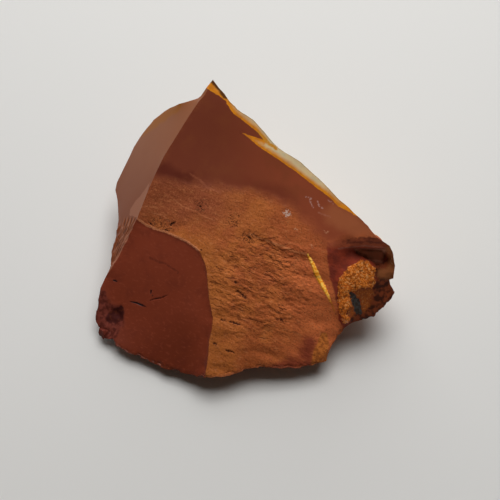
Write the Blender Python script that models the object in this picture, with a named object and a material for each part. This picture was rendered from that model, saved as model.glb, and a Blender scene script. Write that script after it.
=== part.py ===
"""A rough, broken chunk of mookaite, a red-brown and ochre chert, resting on a small flat spot.

The stone is one solid with no loose or added pieces. Its visible side is drawn as it is seen
from in front and above, in millimetres on a sheet that leans back under the sight line, and
each drawn point also has a depth: how far the stone stands out of the sheet, towards the eye.
The hidden side is given by plain points in the room. Two skins are stretched over these
points, one in front and one behind. They meet along the outline, and the fracture surfaces
then get their own relief.
"""

from math import copysign, cos, exp, pi, radians, sin

import bmesh
import bpy
from mathutils import Vector, noise
from mathutils.geometry import delaunay_2d_cdt

# Driving dimension: the width of the whole chunk, in metres.
STONE_WIDTH = 0.080

# The drawn outline is this many millimetres wide, so this scales all the drawn numbers.
DRAWN_WIDTH = 80.0
METRES_PER_MM = STONE_WIDTH / DRAWN_WIDTH

# The sight line comes down to the table at this angle, from this far off the sheet's centre.
SIGHT_LIFT = radians(60)
SIGHT_DISTANCE = 320.0
SHEET_CENTRE = Vector((4.0, -7.0, 17.3))
ACROSS = Vector((1, 0, 0))
UP = Vector((0, sin(SIGHT_LIFT), cos(SIGHT_LIFT)))
TOWARD = Vector((0, -cos(SIGHT_LIFT), sin(SIGHT_LIFT)))


def place(across, up, toward):
    """The point in the room that lies on the sight line through a drawn point."""
    nearer = 1 - toward / SIGHT_DISTANCE
    return SHEET_CENTRE + nearer * (across * ACROSS + up * UP) + toward * TOWARD


def drawn(point):
    """Where a point in the room falls on the sheet, as (across, up, toward)."""
    offset = point - SHEET_CENTRE
    toward = offset.dot(TOWARD)
    nearer = 1 - toward / SIGHT_DISTANCE
    return Vector((offset.dot(ACROSS) / nearer, offset.dot(UP) / nearer, toward))


def break_face(toward, by_across, by_up):
    """The depth over a flat break: its depth at the sheet's centre, and its slopes."""
    return lambda across, up: toward + by_across * across + by_up * up


# The three large breaks that meet at the long ridge.
upper_break = break_face(4.9, 0.193, 0.0645)
maroon_break = break_face(11.1, 0.409, -0.019)
left_break = break_face(67.1, 2.04, -0.765)


def evenly(start, end):
    """A depth that runs evenly from one end of a stretch to the other."""
    return start, end


# The outline, clockwise from the tip, in stretches that each lie on a break or run evenly
# in depth. A stretch stops short of the first point of the next one.
OUTLINE = {
    "top edge": (upper_break, [
        (-9.9, 45.4), (-8.3, 43.2), (-6.7, 41.6), (-5.5, 39.6), (-3.2, 37.3), (0.8, 34.8),
        (7.2, 27.5), (13.3, 23.6), (19.2, 18.4), (23.7, 13.5), (25.6, 12.1), (29.9, 8.0)]),
    "shoulder": (evenly(11.2, 6.4), [
        (34.1, 3.2), (37.3, 1.1), (38.0, -0.5), (38.7, -4.3), (38.3, -7.6)]),
    "lobe": (evenly(4.0, 1.4), [
        (37.3, -8.0), (37.5, -9.2), (38.7, -11.1), (37.9, -13.2), (35.7, -15.5),
        (34.4, -16.3), (32.8, -18.1), (28.0, -19.1), (26.4, -19.9)]),
    "bay": (evenly(1.5, 3.0), [
        (25.1, -21.1), (21.9, -25.2), (20.8, -27.7)]),
    "foot": (evenly(3.2, 6.6), [
        (20.4, -29.6), (18.4, -30.5), (12.8, -31.5), (8.0, -31.7), (3.2, -31.2),
        (-1.9, -32.3), (-5.6, -33.6), (-7.7, -34.0)]),
    "heel": (evenly(6.8, -0.4), [
        (-12.0, -34.0), (-13.9, -34.0), (-15.2, -33.3), (-18.7, -32.8), (-22.9, -31.7),
        (-25.9, -30.1), (-33.1, -27.3)]),
    "corner": (evenly(-0.9, -4.4), [
        (-35.6, -25.7), (-36.7, -23.9), (-38.4, -23.6), (-39.1, -23.7), (-41.3, -18.5)]),
    "low left edge": (evenly(-4.8, -5.2), [
        (-39.9, -10.1), (-38.6, -7.3), (-37.2, -4.3)]),
    "left edge": (left_break, [
        (-36.9, -0.5), (-35.7, 3.7), (-35.1, 8.0), (-35.3, 13.3), (-35.9, 16.0),
        (-35.5, 18.0), (-30.9, 27.5), (-29.5, 29.9), (-25.7, 34.7), (-22.9, 36.9),
        (-21.3, 37.9), (-18.9, 38.9)]),
    "spur": (evenly(3.1, 5.0), [
        (-13.9, 40.5), (-13.1, 41.1), (-11.5, 43.5)]),
}

# The ridge from the tip down to the left edge, between the glossy left break and the front.
TIP = (-9.9, 45.4)
RIDGE_ABOVE = [
    (-12.1, 41.3), (-13.6, 39.7), (-16.3, 35.7), (-22.9, 25.1), (-25.5, 19.7),
    (-26.8, 16.8), (-30.1, 8.4)]
RIDGE_BELOW = [(-33.6, 1.1), (-37.1, -5.2)]
RIDGE_END = (-38.6, -7.3)

# The rounded edge of the maroon scar, from the ridge down to the foot.
SCAR_EDGE = [
    (-27.7, 6.7), (-25.3, 5.6), (-22.4, 4.8), (-16.8, 2.3), (-13.6, -0.1), (-12.0, -3.5),
    (-11.5, -5.9), (-10.9, -13.3), (-9.9, -18.1), (-10.1, -20.8), (-10.9, -24.0),
    (-11.2, -28.8)]
SCAR_FOOT = (-12.0, -34.0)

# Where the smooth upper break gives way to the rough middle, from the ridge to the lobe.
ROUGH_START = (-25.5, 19.7)
ROUGH_EDGE = [
    (-22.7, 18.7, 1.9), (-13.3, 18.1, 3.2), (-1.3, 16.5, 5.3), (7.7, 14.1, 6.9),
    (13.3, 10.4, 7.9), (17.3, 6.0, 8.4)]
LOBE_START = (20.5, 1.9, 8.7)

# The rough middle bulges out between the breaks around it.
MIDDLE = [
    (-24.0, 11.5, 1.3), (-12.5, 9.0, 4.4), (0.0, 10.7, 5.9), (-6.0, 2.0, 6.2),
    (4.0, -2.5, 7.0), (12.5, 4.5, 7.6), (-4.0, -11.0, 7.3), (8.0, -10.7, 7.6),
    (-5.5, -22.0, 7.1), (5.0, -21.3, 6.6), (14.0, -19.0, 6.3), (10.0, -27.5, 5.0),
    (-4.0, -29.0, 6.4), (17.5, -10.0, 7.5), (17.5, -25.0, 4.6)]
STEP_LINE = [(0.0, 4.3, 6.6), (4.8, 2.7, 7.2), (8.5, 0.8, 7.6), (14.9, -1.1, 7.9)]

# The lobe at the right: a maroon flank, a ledge with a hollow under it, and an ochre crust.
FLANK_EDGE = [
    (20.6, -2.1, 8.3), (21.5, -8.0, 7.2), (22.9, -12.5, 6.0), (23.4, -16.0, 4.8),
    (23.8, -18.9, 3.4)]
LEDGE_BACK = [(23.5, 2.7, 9.4), (26.7, 2.9, 10.0), (30.9, 3.2, 10.8)]
LEDGE_LIP = [
    (23.6, 0.2, 8.6), (27.2, 0.9, 9.2), (30.7, 1.2, 9.6), (34.7, 0.9, 9.4), (36.8, -0.3, 8.6)]
HOLLOW = [
    (28.3, -0.4, 6.2), (31.5, 0.0, 4.6), (35.2, -0.1, 4.8), (36.0, -1.8, 5.2),
    (34.9, -3.6, 5.0), (33.2, -3.4, 4.6), (30.6, -2.1, 5.0)]
CRUST = [
    (23.8, -8.3, 6.8), (25.5, -5.7, 7.3), (28.5, -3.6, 7.7), (30.8, -3.0, 7.5),
    (33.2, -5.0, 6.9), (33.2, -9.0, 5.4), (30.5, -10.2, 5.6), (26.6, -10.9, 5.9),
    (27.0, -14.9, 5.0), (25.8, -17.0, 4.4), (26.3, -18.9, 3.6), (24.9, -18.9, 3.9),
    (23.9, -15.5, 5.1)]
LOBE = [
    (29.0, -7.0, 7.2), (25.3, -11.5, 6.4), (27.8, -12.6, 3.9), (28.9, -15.6, 3.3),
    (36.8, -5.0, 6.4), (35.4, -7.4, 5.0), (34.0, -12.0, 4.2), (31.4, -16.0, 2.7),
    (22.9, -3.5, 8.0), (33.3, 2.2, 10.3)]

# A small chip hollows the low left corner, and the foot ends in a blunt corner.
CORNERS = [
    (-35.6, -17.6, -4.1), (-38.6, -18.6, -4.4), (-36.6, -22.0, -2.6), (-32.5, -22.0, -0.9),
    (18.9, -27.9, 4.4)]

# The smooth upper break is slightly dished.
UPPER_DISH = [(-4.0, 28.0, 5.2), (9.0, 19.5, 7.2), (-14.0, 26.0, 3.4), (21.0, 11.0, 9.2)]

# The left break is ribbed below this place on its outer edge.
RIBS_TOP = (-35.1, 8.0)

# Where the lobe's two side lines meet the outline.
LOBE_FOOT = (25.1, -21.1)
LOBE_SHOULDER = (34.1, 3.2)

# The hidden side, as (x, y, z) in the room. A ridge runs from the tip down the back, with a
# break on its left and the rind, the old outer skin, on its right. The rind bulges behind
# the top edge: by so many millimetres at such a part of the way down. Both end well above
# the table, and the underside draws in from there to the flat spot.
BACK_RIDGE = [(-5.0, 29.0, 33.0), (-7.0, 30.0, 20.0), (-8.0, 27.0, 5.5)]
RIND_FOOT = [(8.0, 24.5, 4.2), (22.0, 14.0, 3.6), (32.5, 1.0, 4.6), (38.2, -9.5, 8.0)]
BREAK_FOOT = [(-18.0, 26.0, 4.6), (-27.0, 20.0, 4.8)]
RIND_BULGE = {0.18: 0.9, 0.42: 3.4, 0.70: 5.6}
RIND_OUTWARD = Vector((0.65, 0.76, 0))
SHOULDER_BACK = [(39.5, -7.5, 15.0), (40.5, -9.5, 19.5)]
RIND_END = (38.7, -11.1)
BREAK_END = (-35.9, 16.0)
BACK_BREAK = [(-15.0, 28.0, 24.0), (-20.0, 27.5, 15.5)]
UNDERSIDE = [
    (-30.0, 7.0, 5.0), (-30.5, -9.0, 3.6), (-27.0, -19.0, 1.8), (-11.0, -29.5, 2.0),
    (9.0, -27.5, 2.0), (22.0, -23.5, 3.0), (-33.5, -19.0, 2.4), (20.5, -31.0, 3.0),
    (34.5, -16.0, 6.5), (27.0, -3.0, 2.2)]

# The flat spot that the chunk rests on, as (x, y) on the table.
REST_SPOT = [
    (-21.0, -3.0), (-16.0, -13.0), (-4.0, -17.5), (10.0, -15.5), (20.0, -8.0),
    (19.5, 3.0), (10.0, 13.5), (-4.0, 17.0), (-16.0, 14.0), (-22.0, 6.0)]
BACK_OF_SPOT = 7

# Relief, in millimetres. The maroon scar starts with a step down, which rises over a short
# ramp and runs out slowly.
SCAR_STEP = 0.55
SCAR_RAMP = 0.9
SCAR_RUN = 9.0

# The middle's pits are long and slant on the sheet. It is rougher lower down, and its step
# fades out below the step line.
PIT_SLANT = radians(-20)
PIT_STRETCH = 2.2
PIT_THRESHOLD = 0.15
CALM_ABOVE = 12.0
ROUGH_BELOW = -4.0
CALM_SHARE = 0.35
LINE_STEP = 0.8
STEP_RAMP = 1.0
STEP_RUN = 3.0

# The ribs lean on the sheet as the ridge does, and die out towards their top.
RIB_LEAN = 0.515
RIB_SPACING = 1.15
RIB_HEIGHT = 0.4
RIBS_FADE = (8.0, 5.0)

# The crust stands proud, and ripples cross the back break from where it was struck.
CRUST_PROUD = 0.3
STRIKE_POINT = Vector((-9.0, 30.0, 38.0))
RIPPLE_SPACING = 5.5
RIPPLE_HEIGHT = 0.25

# Plain lumps on the other surfaces: how wide and how high, and where in the noise they start.
LUMPS = {
    "upper": (11.0, 0.12, 0.0),
    "left": (14.0, 0.12, 0.0),
    "lobe": (5.5, 0.7, 2.0),
    "hollow": (4.0, 0.5, 0.0),
    "underside": (8.0, 0.8, 4.0),
}
FINER = 2.6

# The outline keeps this share of the relief, so that it stays as drawn. Only the flat spot
# touches the table.
OUTLINE_SHARE = 0.3
CLEAR_OF_TABLE = 0.3

# Each surface that the eye sees, by a place on the sheet, and each hidden one, by a place in
# the room, with the longest edge that its triangles may have.
SEEN = {
    "upper": ((0.0, 28.0), 3.2),
    "left": ((-28.0, 25.0), 4.0),
    "ribs": ((-35.0, 2.0), 1.0),
    "maroon": ((-25.0, -12.0), 3.0),
    "middle": ((5.0, -8.0), 1.9),
    "lobe": ((34.0, -12.0), 1.6),
    "hollow": ((33.0, -1.5), 1.6),
    "crust": ((29.0, -6.0), 1.6),
}
HIDDEN = {
    "rind": ((9.0, 27.5, 15.0), 3.3),
    "back break": ((-20.0, 27.5, 15.5), 3.4),
    "underside": ((9.0, -27.5, 2.0), 3.8),
    "spot": ((0.0, 0.0, 0.0), 6.0),
}
SURFACES = list(SEEN) + list(HIDDEN)
LONGEST = [length for _, length in (SEEN | HIDDEN).values()]

# How often long edges are split, and how far a corner slides each time to even them out.
MOST_SPLITS = 8
SLIDE_SHARE = 0.6


def outline_points():
    """The whole outline as (across, up, toward), clockwise from the tip."""
    points = []
    for depth, stretch in OUTLINE.values():
        for number, (across, up) in enumerate(stretch):
            if callable(depth):
                toward = depth(across, up)
            else:
                part = number / max(len(stretch) - 1, 1)
                toward = depth[0] + part * (depth[1] - depth[0])
            points.append((across, up, toward))
    return points


def rim_point(place_on_sheet):
    """The outline's point at a place on the sheet."""
    return next(point for point in outline_points() if point[:2] == place_on_sheet)


def on_break(depth, points):
    """Give drawn points the depth of the break that they lie on."""
    return [(across, up, depth(across, up)) for across, up in points]


def in_drawing(points):
    """Turn points of the room into drawn points."""
    return [tuple(drawn(Vector(point))) for point in points]


def front_lines():
    """The lines on the visible side that part its surfaces."""
    ridge = on_break(upper_break, [TIP] + RIDGE_ABOVE) + on_break(maroon_break, RIDGE_BELOW)
    fork = ridge[len(RIDGE_ABOVE)]
    return [
        ridge + [rim_point(RIDGE_END)],
        [fork, rim_point(RIBS_TOP)],
        [fork] + on_break(maroon_break, SCAR_EDGE) + [rim_point(SCAR_FOOT)],
        on_break(upper_break, [ROUGH_START]) + ROUGH_EDGE + [LOBE_START],
        [LOBE_START] + FLANK_EDGE + [rim_point(LOBE_FOOT)],
        [LOBE_START] + LEDGE_BACK + [rim_point(LOBE_SHOULDER)],
        STEP_LINE,
        LEDGE_LIP,
        HOLLOW + HOLLOW[:1],
        CRUST + CRUST[:1],
    ]


def rind_points():
    """Rows of points down the rind, which bulges out from under the top edge."""
    points = []
    for across, up in OUTLINE["top edge"][1][3::2]:
        top = place(across, up, upper_break(across, up))
        foot = Vector((top.x, top.y, RIND_FOOT[0][2]))
        points += [
            tuple(top.lerp(foot, part) + bulge * RIND_OUTWARD)
            for part, bulge in RIND_BULGE.items()]
    return points


def hidden_lines():
    """The lines on the hidden side that part its surfaces."""
    ridge = in_drawing(BACK_RIDGE)
    spot = in_drawing([(x, y, 0.0) for x, y in REST_SPOT])
    return [
        [rim_point(TIP)] + ridge + [spot[BACK_OF_SPOT]],
        ridge[-1:] + in_drawing(RIND_FOOT) + [rim_point(RIND_END)],
        ridge[-1:] + in_drawing(BREAK_FOOT) + [rim_point(BREAK_END)],
        spot + spot[:1],
    ]


def stretch_skin(mesh, corners, lines, loose, faces_eye):
    """Stretch triangles over drawn points: inside the outline, and never across a line."""
    rim = outline_points()
    points = list(rim)
    kept = [(number, (number + 1) % len(rim)) for number in range(len(rim))]
    for line in lines:
        for point in line:
            if point not in points:
                points.append(point)
        numbers = [points.index(point) for point in line]
        kept += list(zip(numbers, numbers[1:]))
    points += loose
    flat = [Vector(point[:2]) for point in points]
    found = delaunay_2d_cdt(flat, kept, [list(range(len(rim)))], 1, 1e-5)
    triangles = [[found[3][number][0] for number in triangle] for triangle in found[2]]
    for point in points:
        if point not in corners:
            corners[point] = mesh.verts.new(place(*point))
    for triangle in triangles:
        ring = triangle if faces_eye else list(reversed(triangle))
        mesh.faces.new([corners[points[number]] for number in ring])
    for first, second in kept:
        edge = mesh.edges.get((corners[points[first]], corners[points[second]]))
        edge.smooth = False


def name_surfaces(mesh, surface):
    """Give every face its surface's number, spread from one place up to the lines."""
    starts = [Vector(start) for start, _ in SEEN.values()]
    starts += [drawn(Vector(start)).xy for start, _ in HIDDEN.values()]
    for number, start in enumerate(starts):
        side = 1 if number < len(SEEN) else -1
        first = min(
            (face for face in mesh.faces if face.normal.dot(TOWARD) * side > 0),
            key=lambda face: (drawn(face.calc_center_median()).xy - start).length)
        reached = {first}
        waiting = [first]
        while waiting:
            face = waiting.pop()
            face[surface] = number
            for edge in face.edges:
                if edge.smooth:
                    fresh = [other for other in edge.link_faces if other not in reached]
                    reached.update(fresh)
                    waiting += fresh


def is_held(vert):
    """Whether a corner lies on one of the lines, which stay where they are drawn."""
    return any(not edge.smooth for edge in vert.link_edges)


def settle(mesh, rounds):
    """Even out the triangles by sliding the free corners within the surface."""
    for _ in range(rounds):
        slides = []
        for vert in mesh.verts:
            if not is_held(vert):
                others = [edge.other_vert(vert).co for edge in vert.link_edges]
                slide = sum(others, Vector()) / len(others) - vert.co
                slides.append((vert, slide - slide.project(vert.normal)))
        for vert, slide in slides:
            vert.co += SLIDE_SHARE * slide
        mesh.normal_update()


def divide(mesh, surface):
    """Split long edges until each surface has the triangles that its relief needs."""
    for _ in range(MOST_SPLITS):
        too_long = [
            edge for edge in mesh.edges
            if edge.calc_length() > min(LONGEST[face[surface]] for face in edge.link_faces)]
        if not too_long:
            break
        bmesh.ops.subdivide_edges(mesh, edges=too_long, cuts=1)
        bmesh.ops.triangulate(mesh, faces=mesh.faces, quad_method="SHORT_EDGE")
        free = [edge for edge in mesh.edges if edge.smooth]
        bmesh.ops.beautify_fill(mesh, faces=mesh.faces, edges=free, method="AREA")
        settle(mesh, rounds=2)


def soften(mesh, surface, numbers, rounds):
    """Round off the joints between stretched triangles on some surfaces, but not the lines."""
    free = [
        vert for vert in mesh.verts
        if not is_held(vert) and vert.link_faces[0][surface] in numbers]
    for _ in range(rounds):
        bmesh.ops.smooth_vert(
            mesh, verts=free, factor=0.5, use_axis_x=True, use_axis_y=True, use_axis_z=True)
    mesh.normal_update()


def smooth_between(nothing, everything, value):
    """Rise smoothly from 0 at one value to 1 at the other."""
    part = min(1.0, max(0.0, (value - nothing) / (everything - nothing)))
    return part * part * (3 - 2 * part)


def lumps(point, width, height, shift=0.0):
    """Smooth lumps and dips, about so many millimetres wide and at most so high."""
    return height * noise.noise(point / width + Vector((shift, shift, shift)))


def pits(point, width, depth, shift=0.0):
    """Hollows in a surface that is otherwise left as it is."""
    return -depth * max(0.0, lumps(point, width, 1.0, shift) - PIT_THRESHOLD)


def plain_relief(name):
    """The plain lumps of a surface, with finer ones on them."""
    width, height, shift = LUMPS[name]
    return lambda point, spot: (
        lumps(point, width, height, shift) + lumps(point, width / FINER, height / 2, shift))


def beside(spot, line):
    """The distance from a drawn line, and whether the spot is below it on the sheet."""
    best = (1e9, False)
    for start, end in zip(line, line[1:]):
        start, end = Vector(start[:2]), Vector(end[:2])
        run = end - start
        part = min(1.0, max(0.0, (spot - start).dot(run) / run.length_squared))
        away = spot - (start + part * run)
        best = min(best, (away.length, run.cross(away) * copysign(1, run.x) < 0))
    return best


def scar_relief(point, spot):
    """The maroon scar starts a step below the rough middle, and runs out to the corner."""
    distance, _ = beside(spot, [RIDGE_ABOVE[-1]] + SCAR_EDGE + [SCAR_FOOT])
    step = SCAR_STEP * min(1.0, distance / SCAR_RAMP) * exp(-distance / SCAR_RUN)
    return lumps(point, width=9.0, height=0.12, shift=3.0) - step


def middle_relief(point, spot):
    """Hackly stone: low lumps, long slanting pits, and a step that faces down the sheet."""
    along = spot.dot(Vector((cos(PIT_SLANT), sin(PIT_SLANT))))
    aside = spot.dot(Vector((-sin(PIT_SLANT), cos(PIT_SLANT))))
    stretched = Vector((along / PIT_STRETCH, aside, 0))
    hackle = lumps(point, width=7.0, height=0.35) + lumps(stretched, 3.4, 0.35, shift=5.0)
    hackle += pits(stretched, width=2.6, depth=1.3)
    rough = smooth_between(CALM_ABOVE, ROUGH_BELOW, spot.y)
    height = (CALM_SHARE + (1 - CALM_SHARE) * rough) * hackle
    distance, below = beside(spot, STEP_LINE)
    if below:
        height -= LINE_STEP * min(1.0, distance / STEP_RAMP) * exp(-distance / STEP_RUN)
    return height


def rib_relief(point, spot):
    """Ribs run along the low end of the glossy break, side by side with the ridge."""
    aside = spot.x - RIB_LEAN * spot.y
    return RIB_HEIGHT * cos(2 * pi * aside / RIB_SPACING) * smooth_between(*RIBS_FADE, spot.y)


def crust_relief(point, spot):
    """The ochre crust is grainy and stands a little proud."""
    return CRUST_PROUD + lumps(point, width=2.4, height=0.45) + lumps(point, 5.0, 0.3)


def rind_relief(point, spot):
    """The old outer skin is lumpy and has pits."""
    lumpy = lumps(point, width=9.0, height=0.9) + lumps(point, width=3.5, height=0.4)
    return lumpy + pits(point, width=4.0, depth=1.6, shift=7.0)


def ripple_relief(point, spot):
    """Ripples spread over the back break from where it was struck, near its top."""
    distance = (point - STRIKE_POINT).length
    ripple = RIPPLE_HEIGHT * sin(2 * pi * distance / RIPPLE_SPACING)
    return ripple + lumps(point, width=5.0, height=0.25)


RELIEF = {name: plain_relief(name) for name in LUMPS} | {
    "ribs": rib_relief,
    "maroon": scar_relief,
    "middle": middle_relief,
    "crust": crust_relief,
    "rind": rind_relief,
    "back break": ripple_relief,
}


def raise_relief(mesh, surface):
    """Move every corner out or in by the relief of the surfaces that it lies on."""
    moves = []
    for vert in mesh.verts:
        point, spot = vert.co, drawn(vert.co).xy
        names = {SURFACES[face[surface]] for face in vert.link_faces}
        if "spot" not in names:
            height = sum(RELIEF[name](point, spot) for name in names) / len(names)
            on_outline = not names.isdisjoint(SEEN) and not names.isdisjoint(HIDDEN)
            share = OUTLINE_SHARE if on_outline else 1.0
            moves.append((vert, share * height * vert.normal))
    for vert, move in moves:
        vert.co += move
        vert.co.z = max(vert.co.z, CLEAR_OF_TABLE)
    for vert in mesh.verts:
        if "spot" in {SURFACES[face[surface]] for face in vert.link_faces}:
            vert.co.z = 0.0
    mesh.normal_update()


def build_stone():
    """Model the chunk in millimetres, and return it as one closed mesh."""
    mesh = bmesh.new()
    surface = mesh.faces.layers.int.new("surface")
    corners = {}
    stretch_skin(mesh, corners, front_lines(), UPPER_DISH + MIDDLE + LOBE + CORNERS, True)
    hidden_points = in_drawing(rind_points() + SHOULDER_BACK + BACK_BREAK + UNDERSIDE)
    stretch_skin(mesh, corners, hidden_lines(), hidden_points, False)
    mesh.normal_update()
    name_surfaces(mesh, surface)
    divide(mesh, surface)
    soften(mesh, surface, range(len(SEEN)), rounds=6)
    soften(mesh, surface, [SURFACES.index("rind")], rounds=4)
    raise_relief(mesh, surface)
    for face in mesh.faces:
        face.smooth = True
    return mesh


def clear_scene():
    """Remove whatever the scene holds."""
    for thing in list(bpy.data.objects):
        bpy.data.objects.remove(thing)


def stone_material():
    """Dull, dense red-brown stone."""
    material = bpy.data.materials.new("mookaite")
    material.use_nodes = True
    shader = material.node_tree.nodes["Principled BSDF"]
    shader.inputs["Base Color"].default_value = (0.22, 0.07, 0.03, 1)
    shader.inputs["Roughness"].default_value = 0.5
    shader.inputs["Metallic"].default_value = 0
    return material


clear_scene()
collection = bpy.data.collections.new("mookaite")
bpy.context.scene.collection.children.link(collection)
shape = build_stone()
bmesh.ops.scale(shape, vec=Vector((1, 1, 1)) * METRES_PER_MM, verts=shape.verts)
data = bpy.data.meshes.new("stone")
shape.to_mesh(data)
shape.free()
stone = bpy.data.objects.new("stone", data)
stone.data.materials.append(stone_material())
collection.objects.link(stone)
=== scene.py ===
"""The looks of a rough, broken chunk of mookaite: its fine surface, its colours and its setting."""

from math import radians

import bpy
import numpy as np
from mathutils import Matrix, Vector, noise


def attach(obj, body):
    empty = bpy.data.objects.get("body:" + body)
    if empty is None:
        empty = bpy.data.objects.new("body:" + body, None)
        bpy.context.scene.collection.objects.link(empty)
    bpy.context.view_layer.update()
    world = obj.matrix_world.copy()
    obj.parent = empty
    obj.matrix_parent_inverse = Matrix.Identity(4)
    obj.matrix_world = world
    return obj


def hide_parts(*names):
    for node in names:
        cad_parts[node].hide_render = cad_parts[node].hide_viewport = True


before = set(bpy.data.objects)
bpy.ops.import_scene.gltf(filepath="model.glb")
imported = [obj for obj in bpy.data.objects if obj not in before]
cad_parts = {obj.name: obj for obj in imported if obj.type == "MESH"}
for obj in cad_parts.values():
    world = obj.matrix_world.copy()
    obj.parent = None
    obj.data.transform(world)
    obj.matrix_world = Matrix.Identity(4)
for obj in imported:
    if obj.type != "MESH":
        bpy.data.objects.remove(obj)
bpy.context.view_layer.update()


# The block. The chunk is one piece of dense red-brown chert, broken from a nodule. Its broken
# faces meet in crisp edges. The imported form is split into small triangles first, smaller where
# the stone parted roughly and the smallest along narrow marks. Lengths are in millimetres.
MM = 0.001
SAME_PLACE = 0.001 * MM
CRISP_EDGE = radians(32)
MOST_SPLITS = 8
HIDDEN_TRIANGLE = 0.8
SMOOTH_TRIANGLE = 0.8
ROUGH_TRIANGLE = 0.42
FINE_TRIANGLE = 0.27
FINE_BESIDE = 0.6
CLEAR_BORDER = 0.5
SOFT_BORDER = 2.0

# Places on the visible side are given across and up a sheet, which leans back under the sight
# line, as seen from the eye.
SIGHT_LIFT = radians(60)
SIGHT_DISTANCE = 320.0
SHEET_CENTRE = np.array((4.0, -7.0, 17.3))
ACROSS = np.array((1, 0, 0))
UP = np.array((0, np.sin(SIGHT_LIFT), np.cos(SIGHT_LIFT)))
TOWARD = np.array((0, -np.cos(SIGHT_LIFT), np.sin(SIGHT_LIFT)))
EYE = SHEET_CENTRE + SIGHT_DISTANCE * TOWARD

# The outlines of the surfaces on that sheet. A side that lies beyond the stone is left wide.
RIDGE = [
    (-9.9, 45.4), (-12.1, 41.3), (-13.6, 39.7), (-16.3, 35.7), (-22.9, 25.1), (-25.5, 19.7),
    (-26.8, 16.8), (-30.1, 8.4), (-33.6, 1.1), (-37.1, -5.2), (-38.6, -7.3)]
SCAR_EDGE = [
    (-30.1, 8.4), (-27.7, 6.7), (-25.3, 5.6), (-22.4, 4.8), (-16.8, 2.3), (-13.6, -0.1),
    (-12.0, -3.5), (-11.5, -5.9), (-10.9, -13.3), (-9.9, -18.1), (-10.1, -20.8),
    (-10.9, -24.0), (-11.2, -28.8), (-12.0, -34.0)]
ROUGH_EDGE = [
    (-25.5, 19.7), (-22.7, 18.7), (-13.3, 18.1), (-1.3, 16.5), (7.7, 14.1), (13.3, 10.4),
    (17.3, 6.0), (20.5, 1.9)]
FLANK_EDGE = [
    (20.5, 1.9), (20.6, -2.1), (21.5, -8.0), (22.9, -12.5), (23.4, -16.0), (23.8, -18.9),
    (25.1, -21.1)]
LEFT_RING = RIDGE + [(-60, -7.3), (-60, 60), (-9.9, 60)]
SCAR_RING = SCAR_EDGE + [(-12, -60), (-60, -60), (-60, 12)]
UPPER_RING = ROUGH_EDGE + [(30.0, 4.5), (60, 0), (60, 60), (-9.9, 60)] + RIDGE[:5]
LOBE_RING = FLANK_EDGE + [(30, -60), (60, -60), (60, 2), (33.0, 3.2), (26.7, 2.9), (23.5, 2.7)]

# Narrow marks on the visible side, which need the finest triangles.
VEIN = [
    (15.4, -1.3), (16.7, -3.6), (17.8, -6.5), (19.3, -9.3), (20.7, -12.0), (21.9, -14.6),
    (22.6, -16.4)]
STEP_LINE = [(0.0, 4.3), (3.2, 2.9), (6.7, 1.7), (9.3, 0.8), (12.0, -0.5), (14.9, -1.1)]
CRUST_RING = [
    (23.6, -8.3), (25.3, -5.9), (26.1, -4.5), (28.5, -3.5), (29.6, -2.8), (31.2, -2.9),
    (33.3, -4.8), (33.3, -8.8), (32.5, -10.1), (29.9, -9.9), (28.8, -10.7), (26.4, -10.9),
    (26.9, -14.9), (25.6, -17.1), (26.7, -18.1), (26.1, -19.5), (24.8, -19.2), (24.3, -17.6),
    (23.5, -16.0)]
HOLLOW_RING = [
    (27.5, 0.5), (36.8, 0.5), (36.3, -1.6), (35.2, -3.5), (33.3, -3.5), (30.7, -2.1), (28.5, -1.1)]
TEAL_RING = [
    (26.2, -10.6), (27.8, -11.6), (29.0, -13.0), (29.8, -14.6), (29.9, -17.0), (27.9, -17.4),
    (27.6, -15.7), (26.9, -13.3)]
BAND_EDGE = [
    (-10.9, 42.7), (-8.5, 41.3), (-6.5, 39.7), (-5.3, 37.6), (-4.3, 36.3), (-0.8, 33.6),
    (1.3, 32.1), (2.8, 30.4), (3.8, 29.2)]
FORK_EDGE = [
    (3.8, 29.2), (3.2, 29.5), (1.3, 30.1), (-0.8, 30.8), (-2.4, 31.4), (0.0, 29.6),
    (2.1, 27.7), (6.3, 25.0), (10.0, 22.5), (13.5, 19.9), (17.1, 17.1), (20.6, 14.6),
    (23.5, 11.7), (27.0, 9.9), (28.5, 9.0)]
CRACKS = [
    [(-32.1, -13.7), (-30.4, -14.1), (-28.6, -14.8), (-27.5, -15.2)],
    [(-27.2, -13.6), (-25.6, -13.1), (-23.7, -12.8), (-21.6, -12.0)],
    [(-36.6, -8.0), (-35.3, -8.4)],
    [(-26.5, -10.6), (-26.5, -11.7)]]
RIB_SIDE = [(-37.9, -7.3), (-37.2, -4.3), (-36.9, -0.5), (-35.7, 3.7), (-35.1, 8.0), (-35.3, 13.3)]
RIB_RING = RIB_SIDE + [(-28.2, 13.3), (-30.1, 8.4), (-33.6, 1.1), (-38.6, -7.3)]
FINE_LINES = CRACKS + [VEIN, STEP_LINE, SCAR_EDGE, BAND_EDGE, FORK_EDGE]
FINE_LINES += [ring + ring[:1] for ring in (CRUST_RING, HOLLOW_RING, TEAL_RING)]


def on_sheet(points):
    """Where points of the room are seen on the sheet, across and up."""
    offset = points - SHEET_CENTRE
    nearer = 1 - offset @ TOWARD / SIGHT_DISTANCE
    return np.stack((offset @ ACROSS / nearer, offset @ UP / nearer), axis=1)


def from_line(spots, line):
    """How far spots are from a drawn line, and how far along it, from 0 to 1."""
    corners = np.array(line, float)
    lengths = np.linalg.norm(np.diff(corners, axis=0), axis=1)
    before = np.concatenate(((0,), np.cumsum(lengths)))
    nearest = np.full(len(spots), np.inf)
    along = np.zeros(len(spots))
    for start, end, length, run_up in zip(corners, corners[1:], lengths, before):
        part = np.clip((spots - start) @ (end - start) / length**2, 0, 1)
        away = np.linalg.norm(spots - start - part[:, None] * (end - start), axis=1)
        closer = away < nearest
        nearest[closer] = away[closer]
        along[closer] = ((run_up + part * length) / before[-1])[closer]
    return nearest, along


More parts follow.
